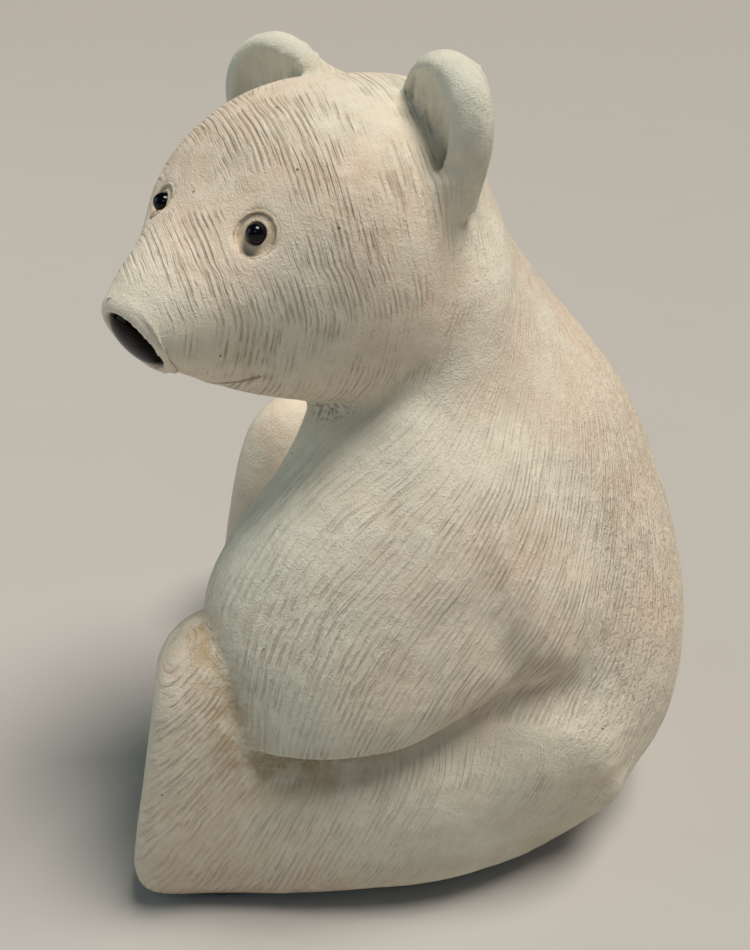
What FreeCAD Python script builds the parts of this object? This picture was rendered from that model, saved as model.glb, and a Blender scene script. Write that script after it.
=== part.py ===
import FreeCAD, Part
import math
import os

# Seated polar bear cub ornament, hand built in clay.
# Torso, head, ears and limbs are separate lumps joined with slip; beads of
# black glass make the eyes and the nose; a felt pad lies under the base.
# While the shapes are drawn, +X is the cub's left, -Y its front, +Z up, and
# the footprint is moved to the middle of the base at the end.

V = FreeCAD.Vector

# ---- driving dimensions, millimetres and degrees ----
PAD_THICKNESS = 1.0      # felt under the seat and the feet
SEAT_PAD_HALF_WIDTH = 17.5
SEAT_PAD_FRONT = -14.0
SEAT_PAD_BACK = 13.0
FOOT_PAD_DISTANCE = 44.0  # middle of each foot's felt, measured from the hip
FOOT_PAD_HALF_LENGTH = 11.0
FOOT_PAD_HALF_WIDTH = 5.4
WALL = 5.0               # clay wall round the hollows
VENT_DIAMETER = 6.0      # firing vent through the base
AIR_HOLE_DIAMETER = 4.0  # pierced from the torso into each hind leg
NECK_PASSAGE = 12.0      # opening between the torso and the head

HEAD_YAW = 50.0          # head turned to the cub's left
HEAD_AXIS_Y = -16.0      # where the head's own axis stands
EAR_YAW = 14.0           # outer edge of each ear stands forward
EAR_LEAN = 13.0          # ears lean outward
EAR_OFFSET = 14.6        # ear's middle from the head's middle plane

EYE_DIAMETER = 4.0       # glass bead
EYE_OFFSET = 9.0         # bead's middle from the head's middle plane
EYE_HEIGHT = 98.3
RIGHT_EYE_INSET = 1.8    # the right eye was set closer in
EYELID_MEAN_RADIUS = 2.1
EYELID_ROLL_RADIUS = 0.62
NOSE_HALF_WIDTH = 4.5    # glass cabochon
NOSE_HALF_HEIGHT = 4.2
NOSE_RIM = 1.15          # clay roll round the cabochon
NOSE_TILT = 28.0         # nose face looks forward and down

LEFT_SPLAY = 13.0        # hind legs spread outward, each by its own angle
RIGHT_SPLAY = 16.5
RIGHT_TOE_LIFT = 2.2     # the right foot stands a little taller
RIGHT_REACH = 2.6        # and reaches a little further forward
SOLE_LEAN = 10.5         # soles lean back at the toes
TOE_START = 45.0         # where the foot turns up, measured from the hip
HIP_X = 22.0
HIP_Y = 8.0
ARM_SLOPE = 30.0         # lower edge of each foreleg rises to the rear
ARM_TURN = 13.0          # rear of each foreleg closes on the torso
RIGHT_ARM_BACK = 6.0     # the right foreleg is drawn further back
PAW_BASE = 28.0          # paws are pressed flat at this height

RING_POINTS = 20

# torso, level rings: height, front, widest, back, half width, roundness
TORSO = (
    (-1.5, -15.0, 2.0, 12.0, 19.0, 2.2),
    (2.0, -21.0, 2.0, 19.5, 23.5, 2.2),
    (6.0, -24.0, 2.0, 25.4, 27.0, 2.2),
    (12.0, -26.5, 1.5, 29.8, 29.6, 2.2),
    (21.0, -28.0, 1.0, 32.3, 31.2, 2.2),
    (31.0, -28.5, 0.0, 32.2, 31.8, 2.2),
    (43.0, -28.0, -1.0, 30.2, 31.0, 2.2),
    (54.0, -26.4, -3.0, 26.6, 28.8, 2.2),
    (63.0, -24.4, -5.0, 22.6, 26.0, 2.15),
    (71.0, -22.8, -8.0, 17.8, 22.8, 2.1),
    (78.0, -22.2, -9.0, 12.2, 20.2, 2.0),
    (86.0, -21.4, -9.0, 6.0, 18.2, 2.0),
    (93.0, -18.8, -9.0, 1.0, 14.8, 2.0),
    (97.5, -16.5, -9.5, -3.8, 10.0, 2.0),
    (99.5, -13.5, -10.0, -7.0, 5.0, 2.0),
)

# head, upright rings that tip towards the nose: distance forward, tip,
# top, widest height, bottom, half width, roundness
HEAD = (
    (-13.4, 0.0, 98.0, 94.0, 90.0, 3.2, 2.0),
    (-12.0, 0.0, 104.0, 94.0, 84.0, 8.0, 2.0),
    (-8.4, 0.0, 109.2, 93.5, 77.0, 13.6, 2.1),
    (-3.0, 0.0, 111.9, 93.0, 72.6, 17.8, 2.2),
    (4.0, 0.0, 112.6, 92.5, 70.4, 20.9, 2.3),
    (10.0, 0.0, 112.5, 92.2, 70.0, 22.0, 2.4),
    (16.0, 0.0, 111.5, 92.2, 71.6, 21.8, 2.4),
    (21.0, 0.0, 109.8, 92.0, 73.8, 20.3, 2.4),
    (25.0, 0.0, 107.2, 91.4, 75.5, 17.9, 2.4),
    (29.0, 2.0, 102.6, 90.3, 76.9, 14.4, 2.35),
    (33.0, 8.0, 98.5, 89.0, 78.3, 10.9, 2.2),
    (36.9, 17.0, 95.7, 88.0, 79.8, 8.5, 2.1),
    (39.3, 25.0, 93.3, 87.0, 81.0, 7.1, 2.0),
    (40.6, 28.0, 91.5, 86.7, 82.0, 5.9, 2.0),
)

# hind leg, rings along the leg: distance, bottom, widest, top,
# outer half width, inner half width
HIND_LEG = (
    (-12.0, 11.0, 16.0, 21.0, 2.4, 5.0),
    (-7.0, 6.5, 16.0, 28.5, 6.2, 9.0),
    (0.0, 2.0, 15.7, 34.0, 10.0, 11.5),
    (5.0, 0.4, 15.5, 35.4, 11.8, 12.0),
    (12.0, -0.8, 15.0, 35.0, 12.9, 12.0),
    (22.0, -1.4, 14.5, 33.0, 12.8, 11.0),
    (32.0, -1.7, 14.0, 32.0, 11.6, 10.5),
    (40.0, -2.0, 15.0, 33.6, 10.4, 10.3),
    (46.0, -2.0, 18.0, 40.6, 9.8, 10.4),
    (51.0, -2.0, 22.0, 46.9, 9.6, 10.6),
    (55.8, -1.6, 23.0, 47.0, 9.4, 10.5),
    (58.8, 0.0, 23.0, 44.2, 8.4, 9.5),
    (60.2, 4.4, 23.0, 40.0, 6.4, 7.2),
)

# foreleg, rings stacked square to its lower edge: height, front, widest,
# rear, sideways place, outer half thickness, inner half thickness
FORELEG = (
    (30.8, 3.0, 13.0, 23.0, 32.2, 2.6, 3.0),
    (32.4, -4.5, 11.0, 29.5, 31.8, 5.6, 6.0),
    (34.8, -10.0, 8.0, 33.0, 31.4, 8.0, 7.0),
    (38.5, -14.4, 6.0, 35.0, 30.6, 9.8, 8.0),
    (43.0, -15.2, 5.0, 36.0, 29.6, 11.0, 9.0),
    (49.0, -13.4, 6.0, 36.0, 28.4, 11.4, 10.0),
    (56.0, -11.0, 8.0, 35.0, 26.8, 11.0, 10.0),
    (62.0, -7.4, 10.0, 33.5, 24.6, 10.4, 10.0),
    (66.5, 0.8, 13.0, 32.0, 22.0, 9.6, 10.0),
    (70.5, 8.4, 17.0, 30.0, 19.0, 8.4, 9.0),
    (74.0, 14.0, 20.0, 27.0, 15.6, 6.0, 8.0),
    (75.6, 17.0, 20.5, 24.5, 13.6, 3.2, 5.0),
)

# ear, rings up the ear: height, half width, half thickness
EAR = (
    (-7.0, 4.6, 3.6),
    (-2.5, 6.6, 4.1),
    (1.5, 8.0, 4.2),
    (5.0, 8.6, 3.8),
    (8.2, 8.1, 3.3),
    (10.9, 6.6, 2.7),
    (12.7, 4.3, 1.9),
    (13.6, 1.9, 0.9),
)
EAR_DISH_INSET = 1.2     # the dish lies nearer the inner edge
EAR_BASE_FORWARD = 5.2
EAR_BASE_HEIGHT = 103.5
RIGHT_EAR_DROP = 0.8     # the right ear sits a little lower


def ring(centre, u, v, u_pos, u_neg, v_pos, v_neg, power):
    # closed smooth curve with its own reach on each of four sides
    points = []
    for i in range(RING_POINTS):
        turn = 2.0 * math.pi * i / RING_POINTS
        c = math.cos(turn)
        s = math.sin(turn)
        reach_u = u_pos if c > 0 else u_neg
        reach_v = v_pos if s > 0 else v_neg
        du = math.copysign(abs(c) ** (2.0 / power), c) * reach_u
        dv = math.copysign(abs(s) ** (2.0 / power), s) * reach_v
        points.append(centre + u * du + v * dv)
    curve = Part.BSplineCurve()
    steps = [float(i) for i in range(RING_POINTS + 1)]
    curve.interpolate(Points=points, PeriodicFlag=True, Parameters=steps)
    return Part.Wire([curve.toShape()])


def loft(rings):
    return Part.makeLoft(rings, True, False, False)


def single(shape):
    # the one solid of a boolean's result
    solids = sorted(shape.Solids, key=lambda s: s.Volume)
    return solids[-1]


def above(height):
    return Part.makeBox(300, 300, 300, V(-150, -150, height))


def mirrored(shape):
    return shape.mirror(V(0, 0, 0), V(1, 0, 0))


# ---- torso ----
def torso_rings(rows, inset):
    rings = []
    for z, front, mid, back, half, power in rows:
        rings.append(ring(V(0, mid, z), V(1, 0, 0), V(0, 1, 0),
                          half - inset, half - inset,
                          back - mid - inset, mid - front - inset, power))
    return rings


# ---- head, in its own turned frame ----
yaw = math.radians(HEAD_YAW)
FORWARD = V(math.sin(yaw), -math.cos(yaw), 0)
SIDEWAYS = V(math.cos(yaw), math.sin(yaw), 0)
UP = V(0, 0, 1)


def head_point(forward, sideways, height):
    return V(0, HEAD_AXIS_Y, height) + FORWARD * forward + SIDEWAYS * sideways


def tipped_up(tip):
    angle = math.radians(tip)
    return UP * math.cos(angle) + FORWARD * math.sin(angle)


def head_rings(rows, inset):
    rings = []
    for forward, tip, top, mid, low, half, power in rows:
        rings.append(ring(head_point(forward, 0, mid), SIDEWAYS, tipped_up(tip),
                          half - inset, half - inset,
                          top - mid - inset, mid - low - inset, power))
    return rings


# ---- limbs ----
def hind_leg_solid(rows, inset, spread, toe_lift, reach):
    splay = math.radians(spread)
    lean = math.radians(SOLE_LEAN)
    along = V(math.sin(splay), -math.cos(splay), 0)
    out = V(math.cos(splay), math.sin(splay), 0)
    rise = UP * math.cos(lean) - along * math.sin(lean)
    rings = []
    for distance, low, mid, top, outer, inner in rows:
        if distance > TOE_START:
            top = top + toe_lift
            distance = distance + reach
        base = V(HIP_X, HIP_Y, 0) + along * distance
        rings.append(ring(base + rise * mid, out, rise,
                          outer - inset, inner - inset,
                          top - mid - inset, mid - low - inset, 2.3))
    return loft(rings)


def foreleg_solid(rows, setback):
    slope = math.radians(ARM_SLOPE)
    turn = math.radians(ARM_TURN)
    rear = V(0, math.cos(slope), math.sin(slope))
    rise = V(0, -math.sin(slope), math.cos(slope))
    out = V(1, 0, 0) * math.cos(turn) + rear * math.sin(turn)
    back = rear * math.cos(turn) - V(1, 0, 0) * math.sin(turn)
    rings = []
    for height, front, mid, end, side, outer, inner in rows:
        centre = rear * mid + rise * height + V(side, setback, 0)
        rings.append(ring(centre, out, back, outer, inner,
                          end - mid, mid - front, 2.15))
    return loft(rings)


# ---- ears ----
def ear_frame(side):
    turn = math.radians(EAR_YAW)
    lean = math.radians(EAR_LEAN)
    across = SIDEWAYS * (side * math.cos(turn)) + FORWARD * math.sin(turn)
    face = FORWARD * math.cos(turn) - SIDEWAYS * (side * math.sin(turn))
    rise = UP * math.cos(lean) + across * math.sin(lean)
    across = across * math.cos(lean) - UP * math.sin(lean)
    height = EAR_BASE_HEIGHT if side > 0 else EAR_BASE_HEIGHT - RIGHT_EAR_DROP
    base = head_point(EAR_BASE_FORWARD, side * EAR_OFFSET, height)
    return base, across, face, rise


def ear_solid(side):
    base, across, face, rise = ear_frame(side)
    rings = []
    for height, half, thick in EAR:
        rings.append(ring(base + rise * height, across, face,
                          half, half, thick, thick, 2.3))
    blade = loft(rings)
    hollow = []
    for depth, half, tall in ((-1.6, 1.5, 2.0), (-1.0, 3.4, 3.9),
                              (0.6, 5.3, 6.1), (3.0, 6.7, 7.6), (6.0, 7.6, 8.6)):
        hollow.append(ring(base + rise * 4.6 + face * depth - across * EAR_DISH_INSET, across, rise,
                           half, half, tall, tall, 2.1))
    return single(blade.cut(loft(hollow)))


# ---- small helpers for the beads ----
def skin_point(solid, start, end):
    inside = Part.makeLine(start, start + (end - start) * 3.0).common(solid)
    points = [v.Point for v in inside.Vertexes]
    return max(points, key=lambda p: (p - start).Length)


def torus_at(centre, axis, mean, roll):
    return Part.makeTorus(mean, roll, centre, axis)


# ---- build the clay ----
floor = above(0.0)
torso_full = loft(torso_rings(TORSO, 0.0))
head_full = loft(head_rings(HEAD, 0.0))
torso = single(torso_full.common(floor))
head = single(head_full.cut(torso_full))

# hollows: torso and hind legs round the lofts' own shapes, head by an egg
torso_hollow = loft(torso_rings(TORSO[2:-2], WALL))
passage = Part.makeCylinder(NECK_PASSAGE / 2, 24, V(2, -11, 72), V(0.1, -0.1, 1))
skull_rows = [(f * 0.72 + 1.0, 0.0, (t - m) * 0.70 + m, m, m - (m - b) * 0.62, h * 0.70, 2.0)
              for f, _, t, m, b, h, _ in HEAD[2:9]]
skull_hollow = loft(head_rings(skull_rows, 0.0))
vent = Part.makeCylinder(VENT_DIAMETER / 2, 30, V(0, 0, -5))
torso = single(torso.cut(torso_hollow).cut(passage).cut(vent))
head = single(head.cut(skull_hollow).cut(passage))

# each side's limbs are drawn on the left and mirrored for the right
legs = {}
arms = {}
for name, sign, spread, lift, reach, setback in (
        ("left", 1, LEFT_SPLAY, 0.0, 0.0, 0.0),
        ("right", -1, RIGHT_SPLAY, RIGHT_TOE_LIFT, RIGHT_REACH, RIGHT_ARM_BACK)):
    leg = hind_leg_solid(HIND_LEG, 0.0, spread, lift, reach)
    arm = foreleg_solid(FORELEG, setback).common(above(PAW_BASE))
    hollow = hind_leg_solid(HIND_LEG[4:-3], WALL, spread, 0.0, 0.0).common(above(WALL))
    hole = Part.makeCylinder(AIR_HOLE_DIAMETER / 2, 13, V(14, -8, 16), V(1, -0.3, 0))
    if sign < 0:
        leg = mirrored(leg)
        arm = mirrored(arm)
        hollow = mirrored(hollow)
        hole = mirrored(hole)
    arms[name] = single(arm.cut(torso_full).cut(leg).cut(head_full))
    leg = single(leg.common(floor).cut(torso_full))
    legs[name] = single(leg.cut(single(hollow.cut(torso_full))).cut(hole))
    torso = single(torso.cut(hole))

# ---- ears ----
ear_left = single(ear_solid(1).cut(head_full))
ear_right = single(ear_solid(-1).cut(head_full))

# ---- eyes ----
eyes = {}
lids = {}
for name, side in (("left", 1), ("right", -1)):
    inner = head_point(13.0, side * 3.0, 91.5)
    offset = EYE_OFFSET if side > 0 else EYE_OFFSET - RIGHT_EYE_INSET
    outer = head_point(28.0, side * offset, EYE_HEIGHT)
    skin = skin_point(head_full, inner, outer)
    axis = V(skin - inner)
    axis.normalize()
    bead = Part.makeSphere(EYE_DIAMETER / 2, skin - axis * (EYE_DIAMETER * 0.22))
    lid = torus_at(skin - axis * 0.05, axis, EYELID_MEAN_RADIUS, EYELID_ROLL_RADIUS)
    lids[name] = single(lid.cut(bead))
    eyes[name] = bead
    head = single(head.cut(bead).cut(lid))

# ---- nose ----
nose_up = tipped_up(NOSE_TILT)
nose_out = FORWARD * math.cos(math.radians(NOSE_TILT)) - UP * math.sin(math.radians(NOSE_TILT))
nose_seat = head_point(40.6, 0, 86.7)


def nose_ring(depth, grow):
    return ring(nose_seat + nose_out * depth, SIDEWAYS, nose_up,
                NOSE_HALF_WIDTH + grow, NOSE_HALF_WIDTH + grow,
                NOSE_HALF_HEIGHT + grow, NOSE_HALF_HEIGHT + grow, 2.0)


nose = loft([nose_ring(-2.2, -0.9), nose_ring(-0.6, -0.15), nose_ring(0.5, -0.25),
             nose_ring(1.2, -1.1), nose_ring(1.7, -2.6)])
rim_full = loft([nose_ring(-0.9, NOSE_RIM - 0.25), nose_ring(0.0, NOSE_RIM),
                 nose_ring(0.65, NOSE_RIM - 0.25), nose_ring(0.95, 0.45)])
rim_hole = loft([nose_ring(-1.2, -0.05), nose_ring(0.1, -0.02), nose_ring(1.2, 0.2)])
rim = single(rim_full.cut(rim_hole).cut(nose))
head = single(head.cut(nose).cut(rim_full))

# ---- felt pads under the seat and the feet ----
pads = {}
seat_middle = (SEAT_PAD_FRONT + SEAT_PAD_BACK) / 2.0
seat_reach = (SEAT_PAD_BACK - SEAT_PAD_FRONT) / 2.0
outline = ring(V(0, seat_middle, -PAD_THICKNESS), V(1, 0, 0), V(0, 1, 0),
               SEAT_PAD_HALF_WIDTH, SEAT_PAD_HALF_WIDTH, seat_reach, seat_reach, 2.2)
pads["seat"] = Part.Face(outline).extrude(UP * PAD_THICKNESS).cut(vent)
for name, sign, spread in (("left", 1, LEFT_SPLAY), ("right", -1, RIGHT_SPLAY)):
    splay = math.radians(spread)
    along = V(sign * math.sin(splay), -math.cos(splay), 0)
    out = V(-along.y, along.x, 0)
    centre = V(sign * HIP_X, HIP_Y, -PAD_THICKNESS) + along * FOOT_PAD_DISTANCE
    outline = ring(centre, out, along, FOOT_PAD_HALF_WIDTH, FOOT_PAD_HALF_WIDTH,
                   FOOT_PAD_HALF_LENGTH, FOOT_PAD_HALF_LENGTH, 2.4)
    pads[name] = Part.Face(outline).extrude(UP * PAD_THICKNESS)

NODES = {
    "torso": torso,
    "head": head,
    "left_ear": ear_left,
    "right_ear": ear_right,
    "left_foreleg": arms["left"],
    "right_foreleg": arms["right"],
    "left_hind_leg": legs["left"],
    "right_hind_leg": legs["right"],
    "left_eyelid": lids["left"],
    "right_eyelid": lids["right"],
    "left_eye": eyes["left"],
    "right_eye": eyes["right"],
    "nose_rim": rim,
    "nose": nose,
    "seat_pad": single(pads["seat"]),
    "left_foot_pad": single(pads["left"]),
    "right_foot_pad": single(pads["right"]),
}

# ---- move the footprint's middle to the origin and write the parts ----
bounds = FreeCAD.BoundBox()
for shape in NODES.values():
    bounds.add(shape.optimalBoundingBox(True, False))
middle = V(bounds.Center.x, bounds.Center.y, bounds.ZMin)

os.makedirs("parts", exist_ok=True)
for name, shape in NODES.items():
    moved = shape.copy()
    moved.translate(middle * -1.0)
    moved.exportStep("parts/" + name + ".step")
    box = moved.optimalBoundingBox(True, False)
    print("%-16s valid %s solids %d volume %8.1f  box %.1f %.1f %.1f .. %.1f %.1f %.1f" % (
        name, moved.isValid(), len(moved.Solids), moved.Volume,
        box.XMin, box.YMin, box.ZMin, box.XMax, box.YMax, box.ZMax))
print("moved by", middle * -1.0)
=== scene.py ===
import math

import bmesh
import bpy
import numpy as np
import openvdb as vdb
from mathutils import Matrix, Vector


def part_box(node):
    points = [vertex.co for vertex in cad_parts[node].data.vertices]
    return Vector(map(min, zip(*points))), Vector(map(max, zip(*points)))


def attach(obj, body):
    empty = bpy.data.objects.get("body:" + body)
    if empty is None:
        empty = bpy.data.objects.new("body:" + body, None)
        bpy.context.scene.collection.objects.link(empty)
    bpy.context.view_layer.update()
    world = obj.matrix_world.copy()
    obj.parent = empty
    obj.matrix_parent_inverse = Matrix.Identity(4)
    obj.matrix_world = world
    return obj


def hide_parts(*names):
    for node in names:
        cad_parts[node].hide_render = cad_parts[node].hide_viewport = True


# A seated polar bear cub, hand built in pale clay, with glass eyes and nose.
# Its eight lumps of clay are joined with fillets that are wide where the maker
# smoothed the clay and tight where a crease was left. The skin found that way
# is shared out among the lumps. Lengths are in millimetres until a mesh is made.

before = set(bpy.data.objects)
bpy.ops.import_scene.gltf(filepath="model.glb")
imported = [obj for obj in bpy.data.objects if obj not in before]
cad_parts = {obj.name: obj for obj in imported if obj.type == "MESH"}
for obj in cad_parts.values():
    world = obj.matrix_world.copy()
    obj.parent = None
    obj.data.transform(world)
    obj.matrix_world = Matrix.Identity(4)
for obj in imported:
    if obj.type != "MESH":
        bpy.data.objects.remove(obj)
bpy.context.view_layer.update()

MM = 0.001
SEED = 7
VOXEL = 0.6          # spacing of the grid that the clay's shape is found on
BAND = 14.0          # how far from a solid its distance is known
MARGIN = 4.0         # free space round the clay
SHELL = 1.6          # thickness given to each piece of the skin
PAD = 1.0            # felt thickness under the clay
SOCKET_RADIUS = 2.45 # dent that the bead and its lid sit in
NOSE_SOCKET = 4.3    # dent that the glass nose sits in
VENT_RADIUS = 3.0    # firing vent in the base
VENT_DEPTH = 5.0
PLUG_RADIUS = 4.5    # clay that stops the vent further in
PLUG_MIDDLE = 4.2
PLUG_HALF = 4.0
COMB_PITCH = 0.72    # from one tooth of the scoring comb to the next
NOSE_TILT = math.radians(28.0)
HIP = (22.0, 8.0)    # hip joint, from the middle of the seat
EAR_YAW = math.radians(14.0)
EAR_DISH = (5.6, 7.6)    # half width and half height of an ear's lining
PAW_UNDERSIDE = 31.2 # height at which the forepaws rest on the legs
ARM_SLOPE = math.radians(30.0)
HEAD_DEPTH = 26.0    # from between the eyes back to the middle of the head
HEAD_LEVEL = 93.0    # height of the middle of the head

# widths of the fillets: in the creases, and what is added where they are smoothed
ARM_CREASE, ARM_SMOOTH = 1.5, 9.5
NECK_CREASE, NECK_SMOOTH = 2.0, 12.0
LEG_CREASE, LEG_SMOOTH, RUMP_SMOOTH = 2.6, 7.5, 3.0
LEG_FOLD = 1.1       # tight fold between foreleg and hind leg
EAR_CREASE, EAR_SMOOTH = 0.9, 5.0
PAW_EDGE = 1.6
NOSE_EDGE = 1.4
DISH_EDGE = 1.8

# places pressed in by hand, from the middle of the seat: spot, reach and depth
THROAT = ((25.0, -27.0, 70.0), (9.0, 8.0, 8.0), 2.2)
NAPE = ((4.0, 3.5, 96.5), (18.0, 10.0, 9.5), 3.3)
FAR_BROW = ((12.5, -45.5, 98.0), (7.0, 7.0, 9.0), -0.8)
RUMP = ((29.0, 18.0, 11.0), (16.0, 14.0, 13.0), 2.4)

# other places from the middle of the seat
PACKING = (12.0, -13.0, 68.0)    # lump of clay inside the throat
PACKING_RADIUS = 5.5
SCAR = ((18.2, 15.9, 65.0), (16.2, 19.2, 62.2))
MOUTH = ((27.9, -34.4, 79.8), (29.3, -31.0, 80.5), (30.3, -27.9, 81.9))

CLAY_NODES = ("torso", "head", "left_ear", "right_ear", "left_foreleg",
              "right_foreleg", "left_hind_leg", "right_hind_leg")
SIDES = (("left", 1.0), ("right", -1.0))


# ---------------------------------------------------------------- frame of reference
def node_box(name):
    """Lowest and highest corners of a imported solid."""
    low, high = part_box(name)
    return np.array(low) / MM, np.array(high) / MM


def middle(name):
    low, high = node_box(name)
    return (low + high) / 2.0


def unit(v):
    return v / np.linalg.norm(v)


UP = np.array([0.0, 0.0, 1.0])
seat = middle("seat_pad")
BODY_X, BODY_Y = seat[0], seat[1] + 0.5
left_eye, right_eye = middle("left_eye"), middle("right_eye")
LEFT = left_eye - right_eye
LEFT[2] = 0.0
LEFT = unit(LEFT)
FORWARD = np.cross(LEFT, UP)
EYES = (left_eye + right_eye) / 2.0
NOSE = middle("nose")
NOSE_OUT = FORWARD * math.cos(NOSE_TILT) - UP * math.sin(NOSE_TILT)
NOSE_RISE = UP * math.cos(NOSE_TILT) + FORWARD * math.sin(NOSE_TILT)


def eye_aim(side):
    """The way an eye looks; side is 1 for the left and -1 for the right."""
    return unit(FORWARD * 15.0 + LEFT * 6.0 * side + UP * 7.3)


# ---------------------------------------------------------------- distance fields
low = np.min([node_box(n)[0] for n in CLAY_NODES], axis=0) - MARGIN
high = np.max([node_box(n)[1] for n in CLAY_NODES], axis=0) + MARGIN
START = np.floor(low / VOXEL).astype(int)
COUNT = np.ceil(high / VOXEL).astype(int) - START + 1
GX = ((START[0] + np.arange(COUNT[0])) * VOXEL).astype(np.float32)[:, None, None]
GY = ((START[1] + np.arange(COUNT[1])) * VOXEL).astype(np.float32)[None, :, None]
GZ = ((START[2] + np.arange(COUNT[2])) * VOXEL).astype(np.float32)[None, None, :]
GRID = (GX, GY, GZ)


def node_field(name):
    """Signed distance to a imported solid, in millimetres, on the whole grid."""
    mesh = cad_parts[name].data
    points = np.empty(len(mesh.vertices) * 3, np.float32)
    mesh.vertices.foreach_get("co", points)
    points = points.reshape(-1, 3) / MM
    mesh.calc_loop_triangles()
    faces = np.empty(len(mesh.loop_triangles) * 3, np.int32)
    mesh.loop_triangles.foreach_get("vertices", faces)
    grid = vdb.FloatGrid.createLevelSetFromPolygons(
        points, triangles=faces.reshape(-1, 3).astype(np.uint32),
        transform=vdb.createLinearTransform(voxelSize=VOXEL), halfWidth=BAND / VOXEL)
    values = np.empty(tuple(COUNT), np.float32)
    grid.copyToArray(values, ijk=tuple(int(i) for i in START))
    return values


def smooth_step(t):
    return t * t * (3.0 - 2.0 * t)


def ramp(x, a, b):
    """Rises smoothly from 0 where x is a to 1 where x is b."""
    return smooth_step(np.clip((x - a) / (b - a), 0.0, 1.0))


def join(a, b, reach):
    """Union with a fillet; reach may change from place to place."""
    h = np.clip(reach - np.abs(a - b), 0.0, None) / reach
    return np.minimum(a, b) - h * h * reach * 0.25


def value_noise(cell, seed):
    """Smooth noise from -1 to 1 on the whole grid; cell is in millimetres."""
    rng = np.random.default_rng(seed)
    size = np.ceil(COUNT * VOXEL / cell).astype(int) + 4
    out = rng.uniform(-1.0, 1.0, tuple(size)).astype(np.float32)
    for axis in range(3):
        t = np.arange(COUNT[axis]) * VOXEL / cell
        i = np.floor(t).astype(int)
        f = (t - i).astype(np.float32)
        w = smooth_step(f).reshape([-1 if a == axis else 1 for a in range(3)])
        out = np.take(out, i, axis) * (1.0 - w) + np.take(out, i + 1, axis) * w
    return out


fields = {name: node_field(name) for name in CLAY_NODES}

# places in the body's own frame
body_x = GX - BODY_X
body_y = GY - BODY_Y
body_z = GZ - PAD
BODY_GRID = (body_x, body_y, body_z)
arm_along = body_y * math.cos(ARM_SLOPE) + body_z * math.sin(ARM_SLOPE)
arm_above = body_z * math.cos(ARM_SLOPE) - body_y * math.sin(ARM_SLOPE)


def along_grid(origin, axis):
    """Distance of every grid point from origin along an axis."""
    return ((GX - origin[0]) * axis[0] + (GY - origin[1]) * axis[1]
            + (GZ - origin[2]) * axis[2])


def squared_away(grid, spot, radii):
    """Squared distance of every grid point from a spot, measured in radii."""
    return sum(((axis - place) / radius) ** 2 for axis, place, radius in zip(grid, spot, radii))


def press(field, spot, reach, depth):
    """Presses the clay in round a spot in the body's frame; a negative depth builds it up."""
    return field + depth * np.exp(-squared_away(BODY_GRID, spot, reach))


# forelegs: smooth at the shoulder and behind, creased along the lower edge
shoulder = ramp(arm_above, 37.0, 53.0) * ramp(arm_along, -9.0, 6.0) * ramp(body_y, -24.0, -8.0)
arm_reach = ARM_CREASE + ARM_SMOOTH * np.maximum(shoulder, ramp(arm_along, 22.0, 33.0))
arms = np.minimum(fields["left_foreleg"], fields["right_foreleg"])
arms = -join(-arms, body_z - PAW_UNDERSIDE, PAW_EDGE)
skin = join(fields["torso"], arms, arm_reach)

# throat: pressed in where it is packed from inside
packing = np.sqrt(squared_away(BODY_GRID, PACKING, (1.0, 1.0, 1.0))) - PACKING_RADIUS
skin = press(np.minimum(skin, packing), *THROAT)

# neck: a crease under the jaw that fades towards the nape
skin = join(skin, fields["head"], NECK_CREASE + NECK_SMOOTH * ramp(body_y, -14.0, 3.0))
skin = join(skin, node_field("nose_rim") + 0.3, NOSE_EDGE)
skin = press(skin, *NAPE)
skin = press(skin, *FAR_BROW)

# hind legs: smooth haunches, a soft groin, a tight fold against the foreleg
haunch = ramp(body_y, -6.0, 12.0)
leg_reach = LEG_CREASE + LEG_SMOOTH * haunch + RUMP_SMOOTH * ramp(body_y, 12.0, 22.0)
by_arm = 1.0 - ramp(arms, 1.0, 5.0)
leg_reach = leg_reach + (LEG_FOLD - leg_reach) * by_arm * (1.0 - haunch)
for word, _ in SIDES:
    skin = join(skin, fields[word + "_hind_leg"], leg_reach)
for _, side in SIDES:
    (across, behind, height), reach, depth = RUMP
    skin = press(skin, (across * side, behind, height), reach, depth)

# ears: a shallow dish, creased in front, smoothed into the head behind and at the outer foot
for word, side in SIDES:
    ear = middle(word + "_ear")
    facing = FORWARD * math.cos(EAR_YAW) - LEFT * (side * math.sin(EAR_YAW))
    face = along_grid(ear, facing)
    out = along_grid(ear, LEFT * side)
    rise = GZ - ear[2]
    round_lining = np.hypot(out / EAR_DISH[0], (rise - 0.5) / EAR_DISH[1]) - 1.0
    lining = np.maximum(round_lining * EAR_DISH[0], np.abs(face + 0.8) - 2.8 - 0.10 * rise)
    blade = join(fields[word + "_ear"], lining + 0.4, DISH_EDGE)
    behind = ramp(-face, 1.6, 4.6)
    outer_foot = ramp(0.35 * out - 3.0 - rise, 0.0, 4.0) * ramp(out, 1.0, 5.0)
    skin = join(skin, blade, EAR_CREASE + EAR_SMOOTH * np.maximum(behind, outer_foot))
    foot = ear + LEFT * (side * 4.0) - UP * 8.5 - np.array([BODY_X, BODY_Y, PAD])
    skin = press(skin, foot, (7.0, 7.0, 6.5), 0.5)

# the firing vent is plugged while the skin is found, so only the outside is kept
from_vent = np.hypot(body_x, body_y)
plug = np.maximum(from_vent - PLUG_RADIUS, np.abs(body_z - PLUG_MIDDLE) - PLUG_HALF)
skin = np.minimum(skin, plug)

# hand-made unevenness
skin = skin + 0.30 * value_noise(15.0, SEED) + 0.13 * value_noise(6.0, SEED + 1)


def carve(field, spot, radius):
    """Hollows a round socket out of a field."""
    away = np.sqrt(squared_away(GRID, spot, (radius, radius, radius)))
    return np.maximum(field, (1.0 - away) * radius)


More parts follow.
